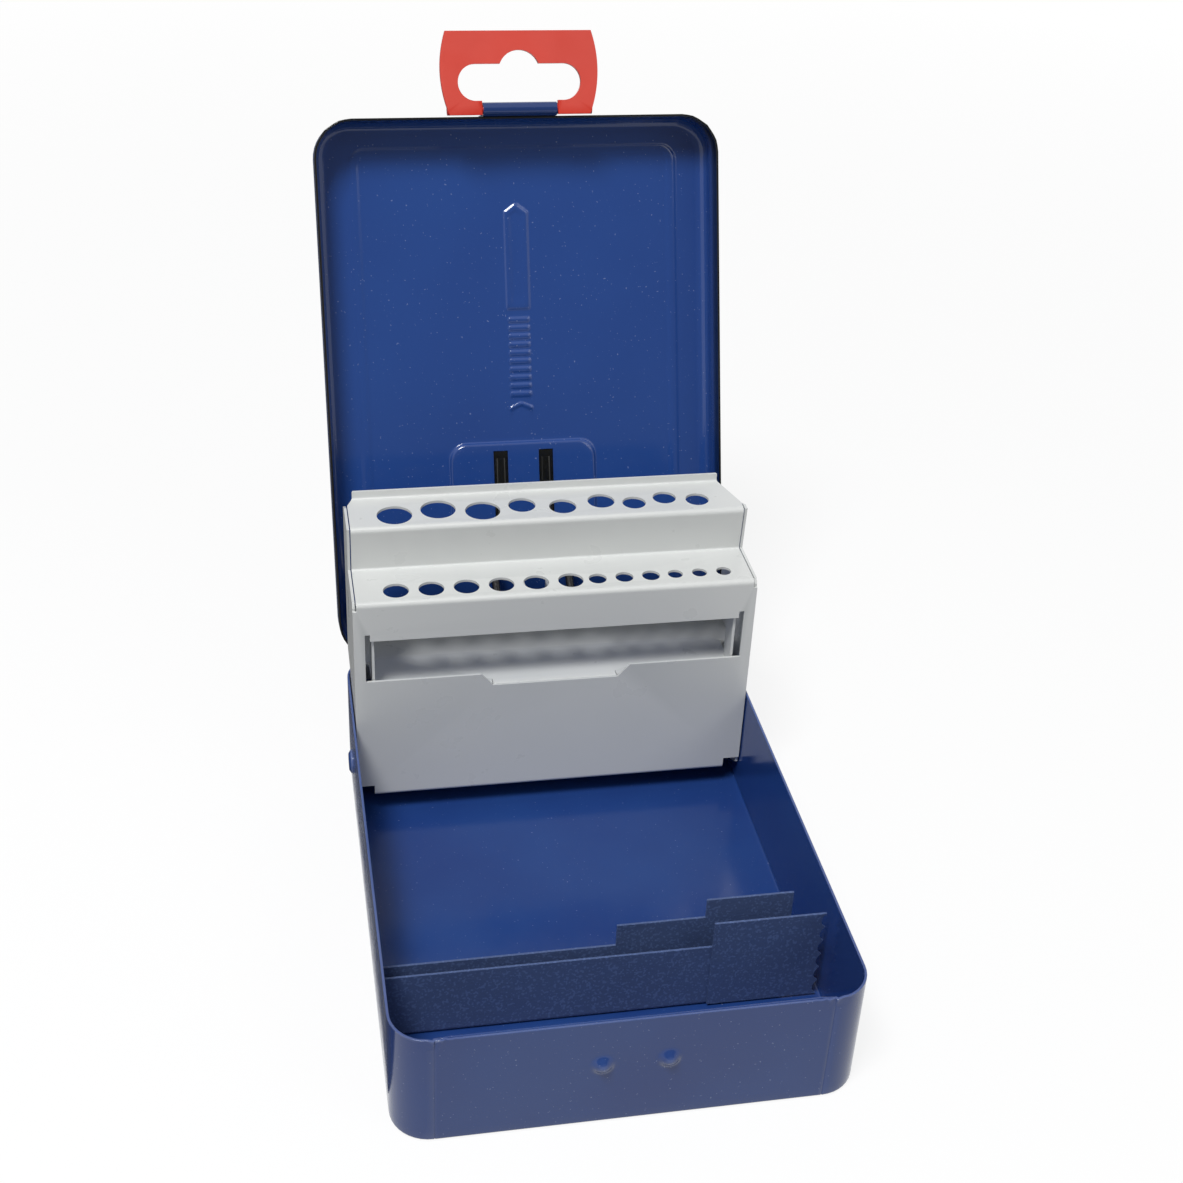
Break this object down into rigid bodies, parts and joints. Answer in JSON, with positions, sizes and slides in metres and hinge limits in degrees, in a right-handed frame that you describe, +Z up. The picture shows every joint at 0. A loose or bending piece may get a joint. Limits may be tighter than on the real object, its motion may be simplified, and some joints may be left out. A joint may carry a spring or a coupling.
{
  "type": "drill bit case",
  "caption": "Metal case for drill bits and taps: hinged lid, tiered rack that rises with the lid, partitioned base, fold-over hang tab that latches the lid.",
  "frame": {"origin": "centre of the base's underside, on the surface that the case stands on", "axes": "+X to the right seen from the front, +Y to the hinge at the rear, +Z up; lid open, rack upright and tab turned up"},
  "size_m": [0.114, 0.22, 0.1943],
  "materials": {
    "blue_enamel": "glossy blue enamel",
    "grey_paint": "satin grey paint",
    "bare_steel": "plain steel",
    "black_plastic": "glossy black",
    "black_wire": "blackened steel wire",
    "red_plastic": "smooth red"
  },
  "bodies": {
    "base": {"base_tray": "blue_enamel", "divider_channel": "blue_enamel", "divider_gate": "blue_enamel", "hinge_leaf_base": "blue_enamel", "hinge_pin": "bare_steel", "pivot_rivet_left": "blue_enamel", "pivot_rivet_right": "blue_enamel"},
    "lid": {"lid_pan": "blue_enamel", "hinge_leaf_lid": "blue_enamel", "tab_strap": "blue_enamel", "link_bracket": "black_plastic"},
    "rack": {"rack_shell": "grey_paint", "rack_cheek_left": "grey_paint", "rack_cheek_right": "grey_paint", "rack_rear_shelf": "grey_paint"},
    "link": {"lift_link": "black_wire"},
    "tab": {"hang_tab": "red_plastic"}
  },
  "joints": [
    {"name": "lid_hinge", "type": "hinge", "parent": "base", "child": "lid", "pos_m": [0, 0.07695, 0.0297], "axis": [1, 0, 0], "range_deg": [0, 111]},
    {"name": "rack_pivot", "type": "hinge", "parent": "base", "child": "rack", "pos_m": [0, 0.05275, 0.012], "axis": [1, 0, 0], "range_deg": [0, 90.01]},
    {"name": "link_pivot", "type": "hinge", "parent": "lid", "child": "link", "pos_m": [0, 0.09876, 0.05721], "axis": [1, 0, 0], "range_deg": [-138.2, 0]},
    {"name": "tab_swing", "type": "hinge", "parent": "lid", "child": "tab", "pos_m": [0, 0.1309, 0.17443], "axis": [1, 0, 0], "range_deg": [0, 90]}
  ],
  "couplings": [
    {"joint": "rack_pivot", "follows": "lid_hinge", "ratio": 0.81081},
    {"joint": "link_pivot", "follows": "lid_hinge", "ratio": -1.2444}
  ]
}
